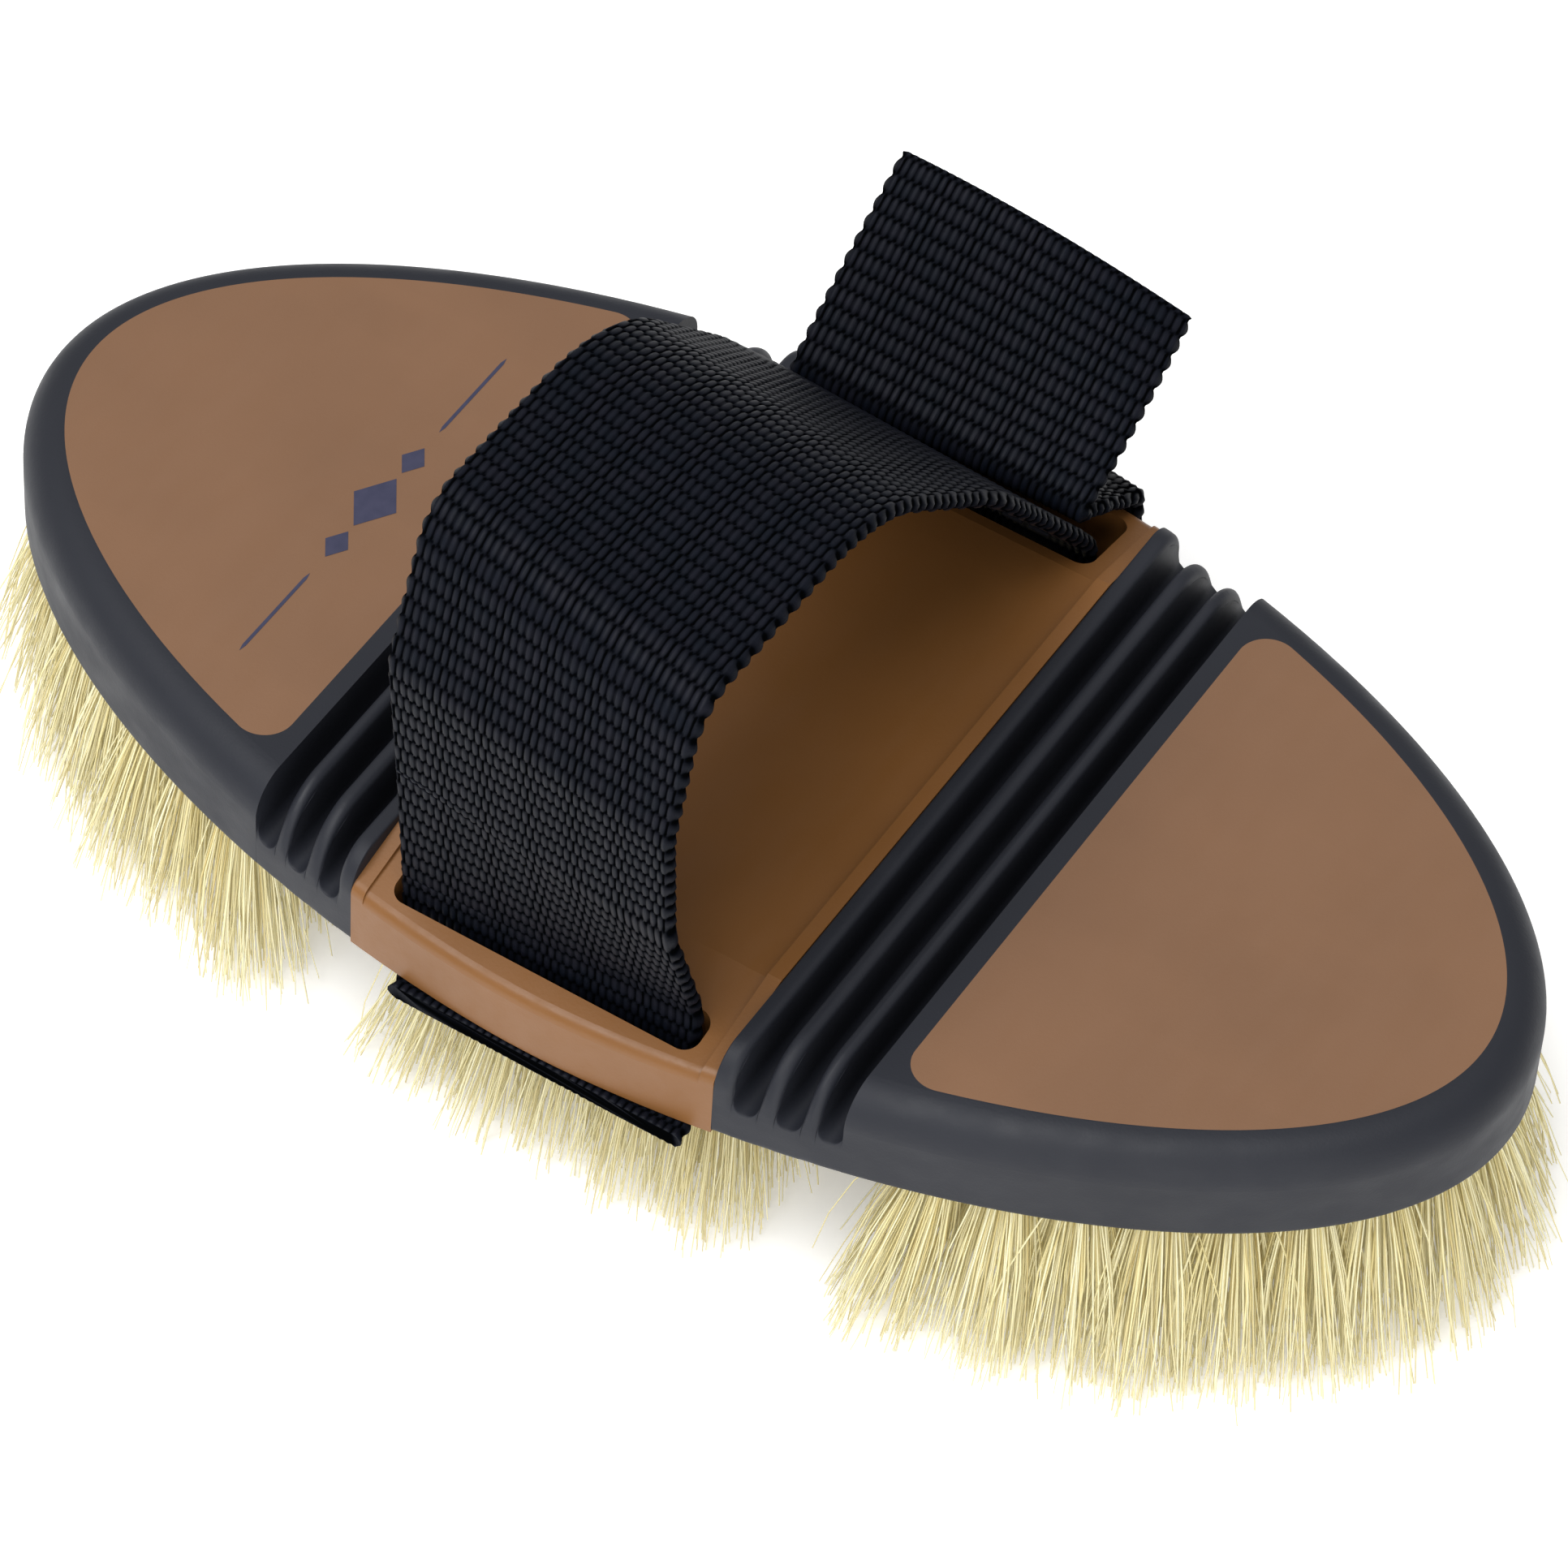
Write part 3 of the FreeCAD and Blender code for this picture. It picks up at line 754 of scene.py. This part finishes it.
def build_tail():
    """The strap's free end: it comes back over the far bar, folds against the arch and stands off."""
    corner = fold_corner()
    leg = FOLD_GAP + TAIL_LAP
    path = bent_path([corner + TO_BAR * leg, corner, corner + TAIL_HEADING * TAIL_LENGTH], [FOLD_RADIUS])
    upper, lower = (np.array(turn[:2]) for turn in ARCH_TURNS[-3:-1])
    out_of_arch = np.array([0, *left_of(unit(upper - lower))])
    heading = np.array([0, *TAIL_HEADING])
    over = np.array([0, *left_of(TAIL_HEADING)])
    centre = np.array([0, *FOLD_CENTRE])
    root = np.array([0, *corner])

    def drape(points, along):
        """Skew the fold, then twist and crown the tail towards its free end."""
        settle = smooth(along / (leg - FOLD_EASE))
        free = np.clip((along - leg) / TAIL_LENGTH, 0, 1)
        skew = np.broadcast_to(-math.radians(TAIL_SKEW) * settle, points.shape[:2])
        twist = np.broadcast_to(-math.radians(TAIL_TWIST) * free, points.shape[:2])
        points = turned(hug_side(points, 1 - settle), centre, out_of_arch, skew)
        points = turned(points, root, heading, twist)
        crown = TAIL_CROWN * smooth(free) * (1 - (points[..., 0] / (STRAP_WIDTH / 2)) ** 2)
        return points + over * crown[..., None]

    tail = build_webbing("tail_webbing", path, path, 0.0, drape)
    axis = Vector(joint("tail_fold")["axis"])
    up = Vector((0, 0, 1)) - axis * axis.z
    up.normalize()
    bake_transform(tail)
    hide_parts("strap_tail")


# ---------------------------------------------------------------- bristle


def tuft_places(node):
    """Centres of a CAD node's tufts, found from the rings of points round their bound ends."""
    points = np.array([v.co for v in frame["nodes"][node].data.vertices]) / MM
    rings = points[points[:, 2] > points[:, 2].max() - RING_BAND][:, :2]
    places = []
    while len(rings):
        group = np.zeros(len(rings), bool)
        group[0] = True
        size = 0
        while group.sum() > size:
            size = group.sum()
            apart = np.linalg.norm(rings[:, None] - rings[None, group], axis=2).min(1)
            group = apart < RING_GAP
        places.append((rings[group].min(0) + rings[group].max(0)) / 2)
        rings = rings[~group]
    return np.array(places)


def build_bristles(name, node, body, lean, seed):
    """The bristles of one section, fanning out of its tufts."""
    random = np.random.default_rng(seed)
    tufts = tuft_places(node)
    places = np.repeat(tufts, BRISTLES_PER_TUFT, axis=0)
    count = len(places)
    angle = random.uniform(0, 2 * math.pi, count)
    radius = ROOT_SPREAD * np.sqrt(random.uniform(0, 1, count))
    root = np.stack([np.cos(angle), np.sin(angle)], -1) * radius[:, None]
    spread = root / ROOT_SPREAD * TIP_SPREAD + random.normal(0, TIP_SCATTER, (count, 2))
    stray = random.uniform(0, 1, count) < STRAY_SHARE
    spread = spread + stray[:, None] * random.normal(0, STRAY_SCATTER, (count, 2))
    bow = random.normal(0, BOW, (count, 2))
    own_lean = random.normal(0, LEAN_SCATTER, (len(tufts), 2))
    tuft_lean = lean(places) + np.repeat(own_lean, BRISTLES_PER_TUFT, axis=0)
    tip_height = np.abs(random.normal(TIP_HEIGHT, TIP_UNEVEN, count))
    tip_height = tip_height + stray * random.uniform(0, STRAY_LIFT, count)
    tones = random.uniform(0, 1, count)
    turns = random.uniform(0, 2 * math.pi, count)
    thickness = random.uniform(*THICKNESS, count)
    top = BOTTOM + ROOT_DEPTH
    steps = np.linspace(0, 1, BRISTLE_SEGMENTS + 1)
    radii = np.linspace(BRISTLE_RADIUS, BRISTLE_TIP_RADIUS, BRISTLE_SEGMENTS + 1)
    points = []
    for step, ring_radius in zip(steps, radii):
        free = np.clip((step * top - ROOT_DEPTH) / (top - ROOT_DEPTH), 0, 1)
        fan = spread * free ** SPREAD_CURVE + bow * math.sin(math.pi * free)
        centre = places + root + tuft_lean * free ** LEAN_CURVE + fan
        height = top + (tip_height - top) * step
        for side in range(BRISTLE_SIDES):
            facing = turns + side * 2 * math.pi / BRISTLE_SIDES
            out = np.stack([np.cos(facing), np.sin(facing)], -1)
            points.append(np.column_stack([centre + out * (ring_radius * thickness)[:, None], height]))
    points = np.stack(points, 1)
    per_bristle = points.shape[1]
    first = (np.arange(count) * per_bristle)[:, None, None]
    walls = grid_quads(BRISTLE_SEGMENTS + 1, BRISTLE_SIDES, wrap=True)[:, ::-1]
    quads = (walls[None] + first).reshape(-1, 4)
    piece = mesh_piece(name, points.reshape(-1, 3), quads)
    point_values(piece, "tone", np.repeat(tones, per_bristle))
    point_values(piece, "reach", np.tile(np.repeat(steps, BRISTLE_SIDES), count))
    piece.data.materials.append(FIBRE)
    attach(piece, body)
    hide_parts(node)


def centre_lean(places):
    """Tufts of the centre lean out towards its edges."""
    reach = np.abs(places).max(0)
    return np.array(CENTRE_LEAN) * (places / reach) * np.abs(places / reach)


def end_lean(places):
    """Tufts of an end lean out along the outline's normal, and back towards the bellows."""
    x, y = places[:, 0], places[:, 1]
    side = np.sign(x.mean())
    long_reach = np.abs(x).max()
    wide_reach = HALF_WIDTH - (HALF_LENGTH - long_reach)
    level = (np.abs(x) / long_reach) ** OUTLINE_POWER + (y / wide_reach) ** 2
    slope = OUTLINE_POWER * (np.abs(x) / long_reach) ** (OUTLINE_POWER - 1) / long_reach
    normal = unit(np.column_stack([side * slope, 2 * y / wide_reach ** 2]))
    back = np.clip(1 - (np.abs(x) - np.abs(x).min()) / BACK_RUN, 0, 1) ** 2
    reach = FRONT_LEAN if side > 0 else REAR_LEAN
    return reach * (normal * (level ** 2)[:, None] - np.column_stack([side * back, 0 * y]))


# ---------------------------------------------------------------- printed ornament


def rule(x, low, high):
    """Outline of a thin rule with pointed ends."""
    left, right = x - RULE_HALF_WIDTH, x + RULE_HALF_WIDTH
    near_end = [(left, low), (x, low - RULE_POINT), (right, low)]
    return near_end + [(right, high), (x, high + RULE_POINT), (left, high)]


def lozenge(x, y, size):
    """Outline of a lozenge."""
    tall = LOZENGE_STRETCH * size
    return [(x - size, y), (x, y - tall), (x + size, y), (x, y + tall)]


def build_ornament():
    """A plain printed row across the rear plate: two rules and three lozenges."""
    x, middle = ORNAMENT_PLACE
    outlines = [rule(x, low + middle, high + middle) for low, high in RULES]
    outlines += [lozenge(x, middle + offset, size) for offset, size in LOZENGES]
    points = []
    faces = []
    for outline in outlines:
        faces.append(tuple(range(len(points), len(points) + len(outline))))
        points += [(px, py, TOP + INK_LIFT) for px, py in outline]
    ornament = mesh_piece("rear_ornament", points, faces, smooth=False)
    ornament.data.materials.append(INK)
    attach(ornament, "rear_section")


# ---------------------------------------------------------------- stage


def area_light(name, place, size, power):
    """A soft lamp at a place in millimetres, pointed at the brush."""
    lamp = bpy.data.lights.new(name, "AREA")
    lamp.energy = power
    lamp.size = size
    thing = bpy.data.objects.new(name, lamp)
    thing.location = Vector(place) * MM
    thing.rotation_euler = (Vector(LAMP_AIM) * MM - thing.location).to_track_quat("-Z", "Y").to_euler()
    bpy.context.scene.collection.objects.link(thing)


def build_stage():
    """Pale floor, soft lights and an even pale surround."""
    turns = ((-1, -1), (1, -1), (1, 1), (-1, 1))
    corners = [(x * FLOOR_REACH, y * FLOOR_REACH, -FLOOR_DROP) for x, y in turns]
    floor = mesh_piece("floor", corners, [(0, 1, 2, 3)], smooth=False)
    surface = Surface("pale_floor", 0.9, 0.0)
    pale = surface.mix(surface.noise(3.0), (0.93, 0.93, 0.93, 1), (0.95, 0.95, 0.95, 1))
    surface.set("Base Color", pale)
    surface.set("Emission Color", pale)
    surface.set("Emission Strength", FLOOR_GLOW)
    floor.data.materials.append(surface.material)
    world = bpy.data.worlds.new("surround")
    world.use_nodes = True
    background = world.node_tree.nodes["Background"]
    background.inputs["Color"].default_value = (1.0, 1.0, 1.0, 1.0)
    background.inputs["Strength"].default_value = SURROUND_STRENGTH
    bpy.context.scene.world = world
    area_light("key", *KEY_LAMP)
    area_light("front_fill", *FILL_LAMP)
    bpy.context.scene.view_settings.view_transform = "Standard"


def build_camera():
    """The camera at the fitted viewing angle."""
    azimuth, elevation = math.radians(CAMERA_AZIMUTH), math.radians(CAMERA_ELEVATION)
    back = Vector((math.sin(azimuth) * math.cos(elevation), -math.cos(azimuth) * math.cos(elevation),
                   math.sin(elevation)))
    right = Vector((math.cos(azimuth), math.sin(azimuth), 0))
    basis = Matrix((right, back.cross(right), back)).transposed()
    basis = basis @ Matrix.Rotation(math.radians(CAMERA_ROLL), 3, "Z")
    data = bpy.data.cameras.new("camera")
    data.lens = CAMERA_LENS
    data.sensor_width = CAMERA_SENSOR
    data.clip_end = CAMERA_RANGE
    camera = bpy.data.objects.new("camera", data)
    place = (Vector(CAMERA_AIM) + back * CAMERA_DISTANCE) * MM
    camera.matrix_world = Matrix.Translation(place) @ basis.to_4x4()
    bpy.context.scene.collection.objects.link(camera)
    bpy.context.scene.camera = camera


carry_over("centre_deck", SHADED_DECK_PLASTIC, DECK_SOFTENING)
carry_over("centre_bristle_board", BOARD_PLASTIC)
carry_over("centre_tuft_staples", WIRE)
carry_over("hem_stitches", THREAD)
carry_over("fold_stitches", THREAD)
for end in ("front", "rear"):
    carry_over(end + "_rim", RUBBER, RIM_SOFTENING)
    carry_over(end + "_plate", PLATE_PLASTIC, PLATE_SOFTENING)
    carry_over(end + "_bristle_board", BOARD_PLASTIC)
    carry_over(end + "_tuft_staples", WIRE)
build_bellows(1)
build_bellows(-1)
build_hand_strap()
build_tail()
build_bristles("centre_bristles", "centre_tufts", "centre", centre_lean, CENTRE_SEED)
build_bristles("front_bristles", "front_tufts", "front_section", end_lean, FRONT_SEED)
build_bristles("rear_bristles", "rear_tufts", "rear_section", end_lean, REAR_SEED)
build_ornament()
build_stage()
build_camera()
